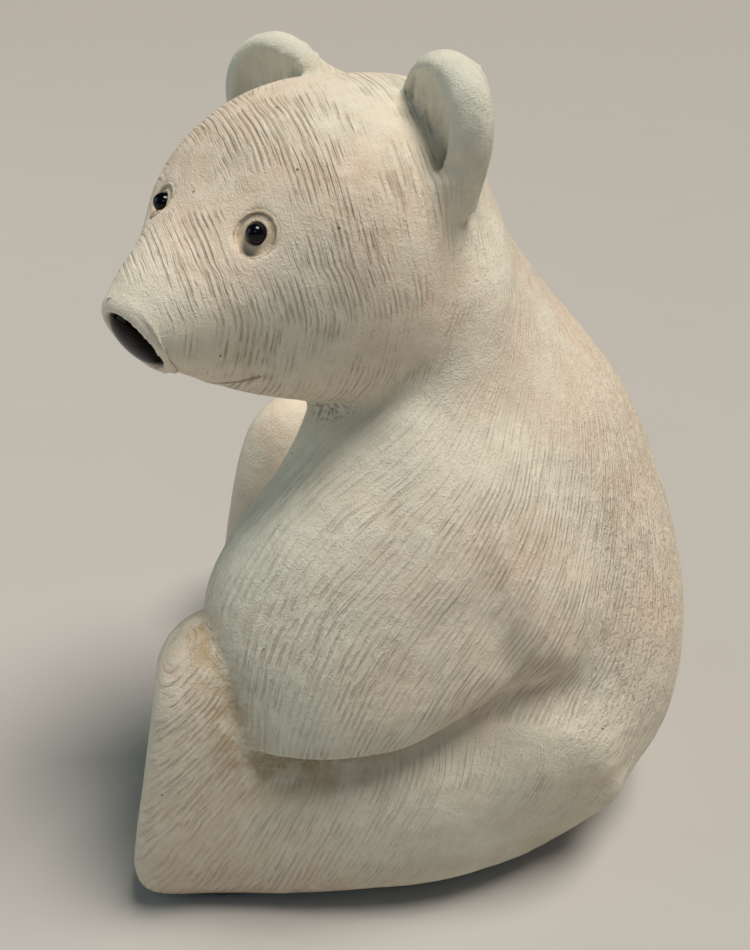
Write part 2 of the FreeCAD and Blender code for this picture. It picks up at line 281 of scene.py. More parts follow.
whole_skin = skin    # before the sockets; the rims are laid on this
for (_, side), bead in zip(SIDES, (left_eye, right_eye)):
    skin = carve(skin, bead + eye_aim(side) * 0.4, SOCKET_RADIUS)
skin = carve(skin, NOSE + NOSE_OUT * 0.3, NOSE_SOCKET)
recess = np.maximum(from_vent - VENT_RADIUS, body_z - VENT_DEPTH)
skin = np.maximum(skin, -recess)
skin = np.maximum(skin, PAD - GZ).astype(np.float32)    # flat underneath, on its pads


# ---------------------------------------------------------------- from field to skin
def sample(field, points):
    """Trilinear value of a field at points in millimetres."""
    g = points / VOXEL - START
    i = np.clip(np.floor(g).astype(int), 0, COUNT - 2)
    f = (g - i).astype(np.float32)
    out = np.zeros(len(points), np.float32)
    for dx in (0, 1):
        for dy in (0, 1):
            for dz in (0, 1):
                w = (f[:, 0] if dx else 1 - f[:, 0]) * (f[:, 1] if dy else 1 - f[:, 1])
                w = w * (f[:, 2] if dz else 1 - f[:, 2])
                out += w * field[i[:, 0] + dx, i[:, 1] + dy, i[:, 2] + dz]
    return out


def slope(field, points):
    """The way a field rises at points, which is outward on the skin."""
    grad = np.empty((len(points), 3))
    for axis, step in enumerate(np.eye(3) * VOXEL):
        grad[:, axis] = sample(field, points + step) - sample(field, points - step)
    return grad / (2.0 * VOXEL)


def settle(field, points, rounds=2):
    """Moves points onto the field's zero surface."""
    for _ in range(rounds):
        grad = slope(field, points)
        size = np.maximum((grad ** 2).sum(1), 0.2)
        points = points - grad * (sample(field, points) / size)[:, None]
    return points


def skin_mesh(field):
    """Points and four-sided faces where a field is zero."""
    grid = vdb.FloatGrid(BAND)
    grid.copyFromArray(field, ijk=tuple(int(i) for i in START))
    grid.transform = vdb.createLinearTransform(voxelSize=VOXEL)
    points, quads = grid.convertToQuads(isovalue=0.0)
    return points.astype(np.float64), quads.astype(np.int64)


def outer_island(points, quads):
    """Keeps the connected faces that reach the top, which are the outside."""
    label = np.arange(len(points))
    edges = np.concatenate([quads[:, [0, 1]], quads[:, [1, 2]], quads[:, [2, 3]]])
    while True:
        new = label.copy()
        np.minimum.at(new, edges[:, 0], label[edges[:, 1]])
        np.minimum.at(new, edges[:, 1], new[edges[:, 0]])
        new = new[new]
        if np.array_equal(new, label):
            break
        label = new
    top = label[np.argmax(points[:, 2])]
    quads = quads[label[quads[:, 0]] == top]
    used, back = np.unique(quads, return_inverse=True)
    return points[used], back.reshape(-1, 4)


def face_normals(points, quads):
    """Normals of the faces, as long as the faces are large."""
    a, b, c, d = (points[quads[:, i]] for i in range(4))
    return np.cross(c - a, d - b)


def point_normals(points, quads):
    """Unit normals at the points."""
    out = np.zeros_like(points)
    flat = face_normals(points, quads)
    for i in range(4):
        for axis in range(3):
            out[:, axis] += np.bincount(quads[:, i], flat[:, axis], len(points))
    return out / np.linalg.norm(out, axis=1)[:, None]


points, quads = skin_mesh(skin)
points, quads = outer_island(points, quads)
points = settle(skin, points)
outward = slope(skin, points[quads[:, 0]])
if np.median(np.einsum("ij,ij->i", face_normals(points, quads), outward)) < 0:
    quads = quads[:, ::-1]

# distance of each point and each face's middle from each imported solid
near = {name: sample(fields[name], points) for name in CLAY_NODES}
centres = points[quads].mean(1)
owner = np.array([sample(fields[name], centres) for name in CLAY_NODES]).argmin(0)


# ---------------------------------------------------------------- how the clay was worked
# Each point gets three triples that the clay materials read:
#   comb  distance across the tool strokes, distance along them, and a slow
#         third coordinate that keeps the two flanks different
#   tone  how strongly the strokes are cut, tan stain with painted crease shade, painted cool shade
#   mark  stippling, dark crumbs that paint shade into creases, tan darker towards the bottom and
#   painted eyelid shade
SOFT = 1.5           # millimetres over which one piece's finish gives way to the next
closest = np.min([near[name] for name in CLAY_NODES], axis=0)
share = {name: np.exp((closest - near[name]) / SOFT) for name in CLAY_NODES}
total = sum(share.values())
arm_share = (share["left_foreleg"] + share["right_foreleg"]) / total
leg_share = (share["left_hind_leg"] + share["right_hind_leg"]) / total
ear_share = (share["left_ear"] + share["right_ear"]) / total
head_share = share["head"] / total
torso_share = share["torso"] / total

bx, by, bz = points[:, 0] - BODY_X, points[:, 1] - BODY_Y, points[:, 2] - PAD
flank = np.abs(bx)
head_middle = EYES - FORWARD * HEAD_DEPTH
ahead = (points - head_middle) @ FORWARD
aside = (points - head_middle) @ LEFT
above = points[:, 2] - HEAD_LEVEL
to_arm = np.minimum(near["left_foreleg"], near["right_foreleg"])
to_leg = np.minimum(near["left_hind_leg"], near["right_hind_leg"])
to_eye = np.minimum(*(np.linalg.norm(points - e, axis=1) for e in (left_eye, right_eye)))
to_nose = np.linalg.norm(points - NOSE, axis=1)


def line_distance(spots, ends):
    """Distance of spots from the line between two ends."""
    start, end = (np.array(v) for v in ends)
    run = end - start
    share = np.clip((spots - start) @ run / (run @ run), 0.0, 1.0)
    return np.linalg.norm(spots - start - share[:, None] * run, axis=1)


def body_strokes():
    """Upright strokes round the body that lean back where the forelegs cross its sides."""
    turn = 30.0 * np.arctan2(by + 2.0, flank + 3.0)
    lean = 0.52 * ramp(by, -36.0, 2.0) * (1.0 - ramp(by, 12.0, 36.0))
    return turn - lean * (bz - 48.0), bz, bx / 14.0


def head_strokes():
    """Strokes drawn down over the brow and cheeks, one way above and the other under the jaw."""
    turned = math.radians(28.0)
    across = ahead * math.cos(turned) - aside * math.sin(turned)
    bridge = ramp(ahead, 7.0, 15.0)
    lean = 0.50 * np.minimum(above + 3.0, 0.0) * (1.0 - 0.7 * bridge)
    lean -= 0.14 * np.maximum(above - 3.0, 0.0) + 0.25 * bridge * np.clip(above + 2.0, 0.0, 6.0)
    return across + lean, above, aside / 14.0 + 40.0


def leg_strokes():
    """Strokes fan out from the fold over the foot and circle the knee on the haunch."""
    reach = by + 0.7 * np.clip(30.0 - flank, -10.0, 30.0)
    knee = np.hypot(reach + 39.0, bz - 42.0)
    fan = 122.0 + 50.0 * np.arctan2(bz - 75.0, reach + 5.0)
    part = ramp(reach, -36.0, 4.0)
    return knee * part + fan * (1.0 - part), 0.57 * by + 0.82 * bz, bx / 14.0 + 80.0


BODY_COMB = np.stack(body_strokes(), axis=1)
HEAD_COMB = np.stack(head_strokes(), axis=1)
LEG_COMB = np.stack(leg_strokes(), axis=1)


def comb_for(node):
    """The strokes that a lump of clay is scored with."""
    if node in ("head", "left_ear", "right_ear"):
        return HEAD_COMB
    return LEG_COMB if node.endswith("hind_leg") else BODY_COMB


back = ramp(by, 4.0, 26.0)
front = 1.0 - ramp(by, -22.0, -6.0)
calm = np.exp(-((by + 3.0) / 11.0) ** 2 - ((bz - 14.0) / 9.0) ** 2)

body_cut = (0.35 + 0.65 * ramp(bz, 76.0, 60.0)) * (1.0 - 0.35 * back)
brow = np.maximum(ramp(above, 7.0, 12.0), ramp(ahead, 8.0, 16.0))
head_cut = (0.2 + 0.8 * ramp(ahead, -13.0, -1.0)) * (0.55 + 0.45 * brow)
cut_by_leg = 0.2 * torso_share + 0.8 * ramp(to_leg, 0.4, 3.4) + 0.2
cut = np.clip(body_cut * (arm_share + torso_share) * cut_by_leg, 0.0, 1.0)
far_foot = ramp(-bx, 6.0, 16.0) * (1.0 - ramp(by, -26.0, -8.0))
cut += head_cut * head_share + 0.03 * ear_share
cut += (1.0 - 0.7 * calm) * (1.0 - 0.85 * far_foot) * leg_share
kin = np.maximum(np.maximum(arm_share + torso_share, head_share + ear_share), leg_share)
cut *= ramp(kin, 0.5, 0.9)    # smeared out where two ways of scoring meet
cut *= 0.1 + 0.9 * ramp(to_eye, 3.2, 6.0)
cut *= ramp(to_nose, 6.0, 9.0)

# the soles of the feet are left nearly smooth
sole = ramp(-point_normals(points, quads)[:, 1], 0.78, 0.96) * ramp(-by, 24.0, 34.0)
cut *= 1.0 - 0.85 * sole * leg_share

# tan stain on the brow; by the forelegs the tan is painted shade in the creases
stain_and_crease_shade = np.exp(-(to_arm / 4.5) ** 2) * front * (1.0 - far_foot) * leg_share
stain_and_crease_shade += 0.35 * np.exp(-(to_leg / 1.5) ** 2) * arm_share
stain_and_crease_shade += 0.25 * ramp(ahead, 4.0, 16.0) * ramp(above, 2.0, 14.0) * head_share

# painted cool shade: a sage tint in the ear hollows, low between the legs, on the front and under
# the head
cool_shade = 0.55 * calm * leg_share + 0.5 * ear_share
cool_shade += 0.5 * (1.0 - ramp(by, -26.0, -2.0)) * (arm_share + torso_share)
cool_shade += 0.5 * np.exp(-(near["head"] / 3.5) ** 2) * torso_share * (1.0 - back)

stipple = 0.15 + 0.85 * back * (1.0 - head_share - ear_share)
stipple += 0.5 * ramp(ahead, 12.0, -6.0) * ramp(above, 6.0, -4.0) * head_share
stipple *= 1.0 - 0.9 * ear_share

# dark crumbs, whose colour also paints shade into the crease under the jaw and the folds by the
# forelegs
jaw = np.exp(-((near["head"] + np.minimum(near["torso"], to_arm)) / 1.2) ** 2)
crumbs_and_crease_shade = 0.7 * jaw * (1.0 - 0.75 * ramp(by, -21.0, -14.0)) * (1.0 - ramp(by, -8.0, 4.0))
crumbs_and_crease_shade = np.maximum(crumbs_and_crease_shade, 0.7 * np.exp(-(to_arm / 1.1) ** 2) * front * leg_share)
# tan that gets darker towards the bottom
low_tan_and_lid_shade = np.clip(1.0 - bz / 5.0, 0.0, 1.0) * 0.5
scar = line_distance(np.stack([bx, by, bz], axis=1), SCAR)
crumbs_and_crease_shade = np.maximum(crumbs_and_crease_shade, 0.6 * np.exp(-(scar / 0.7) ** 2))
tone = np.clip(np.stack([cut, stain_and_crease_shade, cool_shade], axis=1), 0.0, 1.0)
mark = np.clip(np.stack([stipple, crumbs_and_crease_shade, low_tan_and_lid_shade], axis=1), 0.0, 1.0)


def streaks(u, v, w, seed):
    """Smooth noise from -1 to 1 that repeats only after many strokes."""
    lattice = np.random.default_rng(seed).uniform(-1.0, 1.0, (64, 64, 16))
    whole = [np.floor(t).astype(int) for t in (u, v, w)]
    part = [t - i for t, i in zip((u, v, w), whole)]
    part = [smooth_step(t) for t in part]
    out = np.zeros(len(u))
    for corner in range(8):
        step = [(corner >> axis) & 1 for axis in range(3)]
        weight = np.prod([t if s else 1.0 - t for t, s in zip(part, step)], axis=0)
        spot = [(i + s) % size for i, s, size in zip(whole, step, lattice.shape)]
        out += weight * lattice[tuple(spot)]
    return out


# broad tool strokes, the stippling's swell and the worked crumbs are real relief
relief = 0.06 * (0.4 + mark[:, 0]) * streaks(*(points / 1.6).T, SEED + 3)
relief += 0.35 * np.exp(-(scar / 0.8) ** 2)
relief += 0.28 * mark[:, 1] * streaks(*(points / 1.5).T, SEED + 4)
for comb, part in ((BODY_COMB, arm_share + torso_share), (HEAD_COMB, head_share),
                   (LEG_COMB, leg_share)):
    strokes = streaks(comb[:, 0] / 1.7, comb[:, 1] / 14.0, comb[:, 2], SEED + 2)
    relief += 0.07 * cut * ramp(part, 0.5, 0.9) * strokes
relief *= ramp(bz, 0.2, 2.0) * ramp(to_eye, 2.9, 4.2) * ramp(to_nose, 6.5, 9.0)
points = points + point_normals(points, quads) * relief[:, None]
normals = point_normals(points, quads)


# ---------------------------------------------------------------- node graphs
class Graph:
    """A procedural material under construction."""

    def __init__(self, name):
        self.material = bpy.data.materials.new(name)
        self.material.use_nodes = True
        self.nodes = self.material.node_tree.nodes
        self.links = self.material.node_tree.links
        self.shader = self.nodes["Principled BSDF"]
        place = self.nodes.new("ShaderNodeTexCoord").outputs["Object"]
        self.where = self.vector("SCALE", place, scale=1.0 / MM)

    def feed(self, socket, value):
        """Links a socket to another, or sets its value."""
        if isinstance(value, bpy.types.NodeSocket):
            self.links.new(value, socket)
        else:
            socket.default_value = value

    def vector(self, operation, a, b=None, scale=None):
        node = self.nodes.new("ShaderNodeVectorMath")
        node.operation = operation
        self.feed(node.inputs[0], a)
        if b is not None:
            self.feed(node.inputs[1], b)
        if scale is not None:
            self.feed(node.inputs["Scale"], scale)
        return node.outputs["Value" if operation in ("DOT_PRODUCT", "DISTANCE") else "Vector"]

    def math(self, operation, a, b=0.0):
        node = self.nodes.new("ShaderNodeMath")
        node.operation = operation
        self.feed(node.inputs[0], a)
        self.feed(node.inputs[1], b)
        return node.outputs[0]

    def times(self, *values):
        out = values[0]
        for value in values[1:]:
            out = self.math("MULTIPLY", out, value)
        return out

    def plus(self, *values):
        out = values[0]
        for value in values[1:]:
            out = self.math("ADD", out, value)
        return out

    def ramp(self, value, start, end, low=0.0, high=1.0, linear=False):
        """Goes from low where the value is start to high where it is end."""
        node = self.nodes.new("ShaderNodeMapRange")
        node.interpolation_type = "LINEAR" if linear else "SMOOTHSTEP"
        for name, v in (("Value", value), ("From Min", start), ("From Max", end),
                        ("To Min", low), ("To Max", high)):
            self.feed(node.inputs[name], v)
        return node.outputs[0]

    def noise(self, cell, detail=2.0, rough=0.55, at=None, seed=0.0):
        """Noise from 0 to 1 whose features are about cell millimetres."""
        node = self.nodes.new("ShaderNodeTexNoise")
        place = self.where if at is None else at
        self.feed(node.inputs["Vector"], self.vector("ADD", place, (seed, seed * 0.7, seed * 0.3)))
        node.inputs["Scale"].default_value = 1.0 / cell
        node.inputs["Detail"].default_value = detail
        node.inputs["Roughness"].default_value = rough
        return node.outputs["Fac"]

    def spots(self, cell, radius, share):
        """Small round spots of a radius, in that share of the cells."""
        node = self.nodes.new("ShaderNodeTexVoronoi")
        self.feed(node.inputs["Vector"], self.where)
        node.inputs["Scale"].default_value = 1.0 / cell
        dot = self.ramp(node.outputs["Distance"], radius / cell, radius * 0.5 / cell)
        pick = self.nodes.new("ShaderNodeSeparateColor")
        self.feed(pick.inputs[0], node.outputs["Color"])
        return self.times(dot, self.math("LESS_THAN", pick.outputs[0], share))

    def scratch(self, ends, width):
        """1 on a thin line between two places in the body's frame, 0 away from it."""
        start, end = (Vector(v) + Vector((BODY_X, BODY_Y, PAD)) for v in ends)
        run = end - start
        offset = self.vector("SUBTRACT", self.where, start)
        along = self.vector("DOT_PRODUCT", offset, run)
        share = self.ramp(along, 0.0, run.length_squared, linear=True)
        gap = self.vector("DISTANCE", offset, self.vector("SCALE", run, scale=share))
        return self.ramp(gap, width, width * 0.4)

    def triple(self, name):
        """The three parts of one of the skin's triples."""
        node = self.nodes.new("ShaderNodeAttribute")
        node.attribute_name = name
        split = self.nodes.new("ShaderNodeSeparateXYZ")
        self.feed(split.inputs[0], node.outputs["Vector"])
        return list(split.outputs)

    def join(self, x, y, z):
        node = self.nodes.new("ShaderNodeCombineXYZ")
        for socket, value in zip(node.inputs, (x, y, z)):
            self.feed(socket, value)
        return node.outputs[0]

    def blend(self, share, a, b):
        """Colour a turned into colour b by a share."""
        node = self.nodes.new("ShaderNodeMix")
        node.data_type = "RGBA"
        for name, value in (("Factor", share), ("A", a), ("B", b)):
            self.feed(node.inputs[name], value)
        return node.outputs["Result"]

    def bump(self, height):
        """Relief of a height in millimetres."""
        node = self.nodes.new("ShaderNodeBump")
        node.inputs["Distance"].default_value = MM
        self.feed(node.inputs["Height"], height)
        self.links.new(node.outputs[0], self.shader.inputs["Normal"])

    def set(self, **values):
        names = {"colour": "Base Color", "rough": "Roughness", "specular": "Specular IOR Level",
                 "sheen": "Sheen Weight", "sheen_rough": "Sheen Roughness"}
        for key, value in values.items():
            self.feed(self.shader.inputs[names[key]], value)


def rgb(red, green, blue):
    """A colour given as it looks on a screen, 0 to 255, turned into linear light."""
    parts = [v / 255.0 for v in (red, green, blue)]
    linear = [v / 12.92 if v <= 0.04045 else ((v + 0.055) / 1.055) ** 2.4 for v in parts]
    return (*linear, 1.0)


# ---------------------------------------------------------------- materials
CREAM = rgb(226, 218, 200)
ROSY = rgb(226, 208, 188)
# sage green, used as painted cool shade
SHADE_SAGE = rgb(200, 208, 196)
CHALK = rgb(240, 234, 220)
TAN = rgb(176, 148, 108)
GROOVE = rgb(158, 136, 108)
SOIL = rgb(72, 56, 42)


def stroked(g, comb, width, length, detail=1.0, rough=0.5, seed=0.0):
    """Noise drawn out along the strokes, with features of a width and length."""
    across, along, slow = comb
    place = g.join(g.times(across, 1.0 / width), g.times(along, 1.0 / length), slow)
    return g.noise(1.0, detail, rough, place, seed)


def scoring(g, comb, cut, patchy):
    """The grooves, ridges and fine hairs left by a comb whose teeth skip."""
    wide = stroked(g, comb, 0.36, 8.0)
    thin = stroked(g, comb, 0.20, 3.0, seed=9.0)
    wave = g.plus(g.times(comb[0], 2.0 * math.pi / COMB_PITCH), g.times(wide, 2.0))
    teeth = g.math("SINE", wave)
    drawn = g.ramp(stroked(g, comb, 0.9, 4.5, 3.0, 0.65, 4.0), 0.42, 0.56)
    patch = g.ramp(g.noise(9.0, 3.0, 0.6, seed=3.0), 0.40, 0.56)
    force = g.times(cut, g.plus(g.times(patch, patchy), 1.0 - patchy))
    tooth = g.times(drawn, g.ramp(teeth, -0.30, -0.95))
    groove = g.times(force, g.math("MAXIMUM", tooth, g.times(g.ramp(wide, 0.42, 0.30), 0.8)))
    ridge = g.times(force, drawn, g.ramp(teeth, 0.0, 0.9))
    hair = g.times(force, g.ramp(thin, 0.48, 0.32))
    return groove, ridge, hair


def clay(name, patchy, groove_dark):
    """Unglazed pale clay, scored with a fine comb.

    patchy is how much the scoring comes and goes, and the last argument how much darker its
    grooves are coloured.
    """
    g = Graph(name)
    across, along, slow = g.triple("comb")
    cut, stain_and_crease_shade, cool_shade = g.triple("tone")
    stipple, crumbs_and_crease_shade, low_tan_and_lid_shade = g.triple("mark")

    wander = g.math("SUBTRACT", g.noise(9.0, 1.0), 0.5)
    comb = (g.plus(across, wander), along, slow)
    groove, ridge, hair = scoring(g, comb, cut, patchy)

    # sandy body, stippling, pinholes, crumbs whose darkness also paints shade into creases, and
    # the scratched mouth
    grain = g.noise(0.30, 3.0, 0.65)
    sand = g.ramp(g.noise(0.34, 2.0, 0.6, seed=11.0), 0.52, 0.74)
    lumps = g.noise(2.4, 2.0, 0.5, seed=5.0)
    peck = g.times(stipple, g.ramp(stroked(g, comb, 0.30, 0.7, seed=8.0), 0.46, 0.32))
    pits = g.spots(3.4, 0.20, 0.10)
    flecks = g.times(crumbs_and_crease_shade, g.ramp(g.noise(0.7, 2.0, 0.6, seed=2.0), 0.48, 0.60))
    height = g.plus(g.times(groove, -0.13), g.times(ridge, 0.04), g.times(hair, -0.05),
                    g.times(grain, 0.12), g.times(sand, 0.05), g.times(lumps, 0.22),
                    g.times(peck, -0.12), g.times(pits, -0.25), g.times(flecks, 0.20))
    mouth = g.math("MAXIMUM", g.scratch(MOUTH[:2], 0.30), g.scratch(MOUTH[1:], 0.30))
    g.bump(g.plus(height, g.times(mouth, -0.3)))

    clouds = g.ramp(g.noise(16.0, 2.0, 0.5), 0.35, 0.65)
    colour = g.blend(clouds, CREAM, ROSY)
    # painted cool shade
    colour = g.blend(cool_shade, colour, SHADE_SAGE)
    colour = g.blend(g.times(g.ramp(lumps, 0.35, 0.7), 0.30), colour, CHALK)
    colour = g.blend(g.times(g.math("MAXIMUM", ridge, sand), 0.30), colour, CHALK)
    blotches = g.ramp(g.noise(3.0, 3.0, 0.6, seed=6.0), 0.25, 0.7)
    # tan stain, which in the creases by the forelegs is painted shade
    colour = g.blend(g.times(stain_and_crease_shade, blotches), colour, TAN)
    # darker in the grooves
    colour = g.blend(g.times(g.math("MAXIMUM", groove, g.times(hair, 0.5)), groove_dark), colour, GROOVE)
    colour = g.blend(g.times(g.ramp(grain, 0.42, 0.25), 0.25), colour, GROOVE)
    colour = g.blend(g.times(peck, 0.22), colour, GROOVE)
    # tan towards the bottom; on the eyelids this is painted shade
    colour = g.blend(g.times(low_tan_and_lid_shade, g.noise(2.0, 3.0, 0.7)), colour, TAN)
    # dark pits, mouth and crumbs; the crumbs' darkness also paints shade into creases
    dark = g.math("MAXIMUM", g.math("MAXIMUM", pits, flecks), g.times(mouth, 0.6))
    colour = g.blend(g.times(dark, 0.70), colour, SOIL)
    rough = g.plus(g.ramp(grain, 0.3, 0.7, 0.76, 0.88), g.times(groove, 0.08))
    g.set(colour=colour, rough=rough, specular=0.25)
    return g.material


def glass(name, deep, rim_tint, dust_share, shine):
    """Black glass with a breath of dust and fine rubs."""
    g = Graph(name)
    swirl = g.noise(1.4, 3.0, 0.6)
    dust = g.times(g.ramp(g.noise(0.35, 3.0, 0.7, seed=7.0), 0.60, 0.74), dust_share)
    colour = g.blend(g.ramp(swirl, 0.35, 0.7), deep, rim_tint)
    g.bump(g.times(swirl, 0.02))
    g.set(colour=g.blend(dust, colour, GROOVE), rough=g.plus(g.times(dust, 0.35), 0.06),
          specular=shine)
    return g.material


def felt():
    """Pressed wool felt."""
    g = Graph("felt")
    fibres = g.noise(0.35, 4.0, 0.7, g.vector("MULTIPLY", g.where, (1.0, 0.45, 1.4)))
    tufts = g.noise(1.8, 3.0, 0.6, seed=3.0)
    g.bump(g.plus(g.times(fibres, 0.16), g.times(tufts, 0.12)))
    colour = g.blend(g.ramp(fibres, 0.3, 0.7), rgb(52, 44, 38), rgb(96, 84, 72))
    g.set(colour=g.blend(g.times(tufts, 0.4), colour, rgb(70, 60, 52)),
          rough=g.ramp(fibres, 0.3, 0.7, 0.86, 0.97), specular=0.15, sheen=0.5, sheen_rough=0.6)
    return g.material


BODY_CLAY = clay("clay_body", 0.5, 0.34)
HEAD_CLAY = clay("clay_head", 0.95, 0.46)
LIMB_CLAY = clay("clay_limbs", 0.5, 0.30)
SLIP = clay("clay_slip", 1.0, 0.3)
EYE_GLASS = glass("eye_glass", rgb(4, 5, 9), rgb(8, 12, 22), 0.05, 0.22)
NOSE_GLASS = glass("nose_glass", rgb(5, 4, 4), rgb(24, 14, 11), 0.05, 0.05)
FELT = felt()


# ---------------------------------------------------------------- pieces
SHAPES = bpy.data.collections.new("ornament")
bpy.context.scene.collection.children.link(SHAPES)


def finish_piece(name, mesh, node, material):
    """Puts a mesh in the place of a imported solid."""
    obj = bpy.data.objects.new(name, mesh)
    SHAPES.objects.link(obj)
    mesh.materials.append(material)
    mesh.shade_smooth()
    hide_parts(node)
    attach(obj, "root")


def quad_mesh(name, spots, polys):
    """Mesh of four-sided faces."""
    mesh = bpy.data.meshes.new(name)
    mesh.vertices.add(len(spots))
    mesh.vertices.foreach_set("co", (np.asarray(spots) * MM).ravel())
    mesh.loops.add(polys.size)
    mesh.loops.foreach_set("vertex_index", polys.ravel())
    mesh.polygons.add(len(polys))
    mesh.polygons.foreach_set("loop_start", np.arange(0, polys.size, 4))
    mesh.update(calc_edges=True)
    return mesh


def add_triple(mesh, name, values):
    """Gives each point of a mesh one of the triples that the clay reads."""
    layer = mesh.attributes.new(name, "FLOAT_VECTOR", "POINT")
    layer.data.foreach_set("vector", values.astype(np.float32).ravel())


def thick_skin(name, node, faces):
    """One piece of the skin: its outside, its inside and the walls between them."""
    used, again = np.unique(faces, return_inverse=True)
    outer = again.reshape(-1, 4)
    count = len(used)
    edges = np.concatenate([outer[:, [i, (i + 1) % 4]] for i in range(4)])
    key = np.sort(edges, axis=1)
    key = key[:, 0] * count + key[:, 1]
    _, first, times = np.unique(key, return_index=True, return_counts=True)
    rim = edges[first[times == 1]]
    walls = np.stack([rim[:, 1], rim[:, 0], rim[:, 0] + count, rim[:, 1] + count], axis=1)
    spots = np.concatenate([points[used], points[used] - normals[used] * SHELL])
    mesh = quad_mesh(name, spots, np.concatenate([outer, outer[:, ::-1] + count, walls]))
    aim = np.concatenate([normals[used], -normals[used]])
    mesh.shade_smooth()
    mesh.normals_split_custom_set_from_vertices(aim.tolist())
    for layer, values in (("comb", comb_for(node)), ("tone", tone), ("mark", mark)):
        add_triple(mesh, layer, np.concatenate([values[used], values[used]]))
    return mesh


def clay_finish(node):
    """Slot and material of a lump of clay."""
    if node == "torso":
        return "clay_body", BODY_CLAY
    if "leg" in node:
        return "clay_limbs", LIMB_CLAY
    return "clay_head", HEAD_CLAY


for index, node in enumerate(CLAY_NODES):
    slot_name, material = clay_finish(node)
    mesh = thick_skin("clay_" + node, node, quads[owner == index])
    finish_piece("clay_" + node, mesh, node, material)


# ---------------------------------------------------------------- beads and rims
TURN = np.linspace(0.0, 2.0 * math.pi, 96, endpoint=False)
WELD = 0.03          # points nearer than this are one


def loop_mesh(name, rows, closed):
    """Mesh through rows of rings; closed joins the last row to the first."""
    turn = len(rows[0])
    count = len(rows)
    polys = []
    for k in range(count if closed else count - 1):
        here, there = k * turn, (k + 1) % count * turn
        for i in range(turn):
            j = (i + 1) % turn
            polys.append((here + i, here + j, there + j, there + i))
    mesh = bpy.data.meshes.new(name)
    mesh.from_pydata((np.concatenate(rows) * MM).tolist(), [], polys)
    shape = bmesh.new()
    shape.from_mesh(mesh)
    bmesh.ops.remove_doubles(shape, verts=shape.verts, dist=WELD * MM)
    bmesh.ops.recalc_face_normals(shape, faces=shape.faces)
    shape.to_mesh(mesh)
    shape.free()
    return mesh


def oval(middle_point, u, v, half_u, half_v, power=2.0):
    """A ring round a point; a power over 2 makes it squarer."""
    c, s = np.cos(TURN), np.sin(TURN)
    du = np.sign(c) * np.abs(c) ** (2.0 / power) * half_u
    dv = np.sign(s) * np.abs(s) ** (2.0 / power) * half_v
    return middle_point + np.outer(du, u) + np.outer(dv, v)


def on_skin(ring, proud):
    """A ring laid on the clay, standing proud of it or sunk below it."""
    ring = settle(whole_skin, ring, 4)
    out = slope(whole_skin, ring)
    return ring + out / np.linalg.norm(out, axis=1)[:, None] * proud


def eye_rows(centre, aim, profile):
    """Rings round an eye's axis, one for each radius and height of a profile."""
    u = unit(np.cross(UP, aim))
    v = np.cross(aim, u)
    return [oval(centre + aim * h, u, v, r, r) for r, h in profile]


# the eye is a glass drop whose shoulder lies under the lid; radius and height
# from its middle
BEAD = ((0.01, 1.84), (0.28, 1.81), (0.55, 1.70), (0.80, 1.52), (1.02, 1.28), (1.18, 1.00),
        (1.27, 0.70), (1.29, 0.46), (1.66, 0.36), (1.92, 0.14), (1.98, -0.20), (1.84, -0.74),
        (1.50, -1.28), (0.98, -1.70), (0.55, -1.86), (0.01, -1.94))

# the lid is a dished ring of slip: an inner part set from the bead's middle and
# an outer part laid on the clay
LID_LEVEL = 0.88     # height that the outer part is laid from
LID = ((1.32, 0.30), (1.31, 0.50), (1.42, 0.58), (1.62, 0.56))
LID_SKIRT = ((1.90, -0.24), (2.08, -0.10), (2.24, 0.03), (2.42, 0.06), (2.66, 0.03),
             (2.90, -0.08), (2.90, -0.60))
LID_FOOT = ((2.30, -0.40), (1.80, 0.20))

for (word, side), centre in zip(SIDES, (left_eye, right_eye)):
    aim = eye_aim(side)
    bead = loop_mesh(word + "_eye_glass", eye_rows(centre, aim, BEAD), False)
    finish_piece("glass_" + word + "_eye", bead, word + "_eye", EYE_GLASS)
    skirt = eye_rows(centre, aim, [(r, LID_LEVEL) for r, _ in LID_SKIRT])
    skirt = [on_skin(ring, proud) for ring, (_, proud) in zip(skirt, LID_SKIRT)]
    rows = eye_rows(centre, aim, LID) + skirt + eye_rows(centre, aim, LID_FOOT)
    lid = loop_mesh(word + "_eyelid_slip", rows, True)
    # the lid is tinted tan, and darkened with painted shade
    add_triple(lid, "tone", np.tile((0.0, 0.5, 0.0), (len(lid.vertices), 1)))
    add_triple(lid, "mark", np.tile((0.0, 0.0, 0.35), (len(lid.vertices), 1)))
    finish_piece("slip_" + word + "_eyelid", lid, word + "_eyelid", SLIP)

NOSE_HALF = (4.5, 4.2)               # half width and half height
NOSE_SEAT = NOSE + NOSE_OUT * 0.42


def nose_row(depth, share=1.0, grow=0.0):
    """A ring round the nose, at a depth along its axis, as a share of its size."""
    return oval(NOSE_SEAT + NOSE_OUT * depth, LEFT, NOSE_RISE,
                NOSE_HALF[0] * share + grow, NOSE_HALF[1] * share + grow)


# the nose is a domed glass stone; depth and share of its size
CABOCHON = ((-2.20, 0.01), (-2.20, 0.74), (-1.70, 0.84), (-0.60, 0.965), (0.20, 0.965),
            (0.70, 0.92), (1.08, 0.82), (1.36, 0.68), (1.56, 0.50), (1.67, 0.30), (1.71, 0.12),
            (1.72, 0.01))
nose_mesh = loop_mesh("nose_glass", [nose_row(d, s) for d, s in CABOCHON], False)
finish_piece("glass_nose", nose_mesh, "nose", NOSE_GLASS)

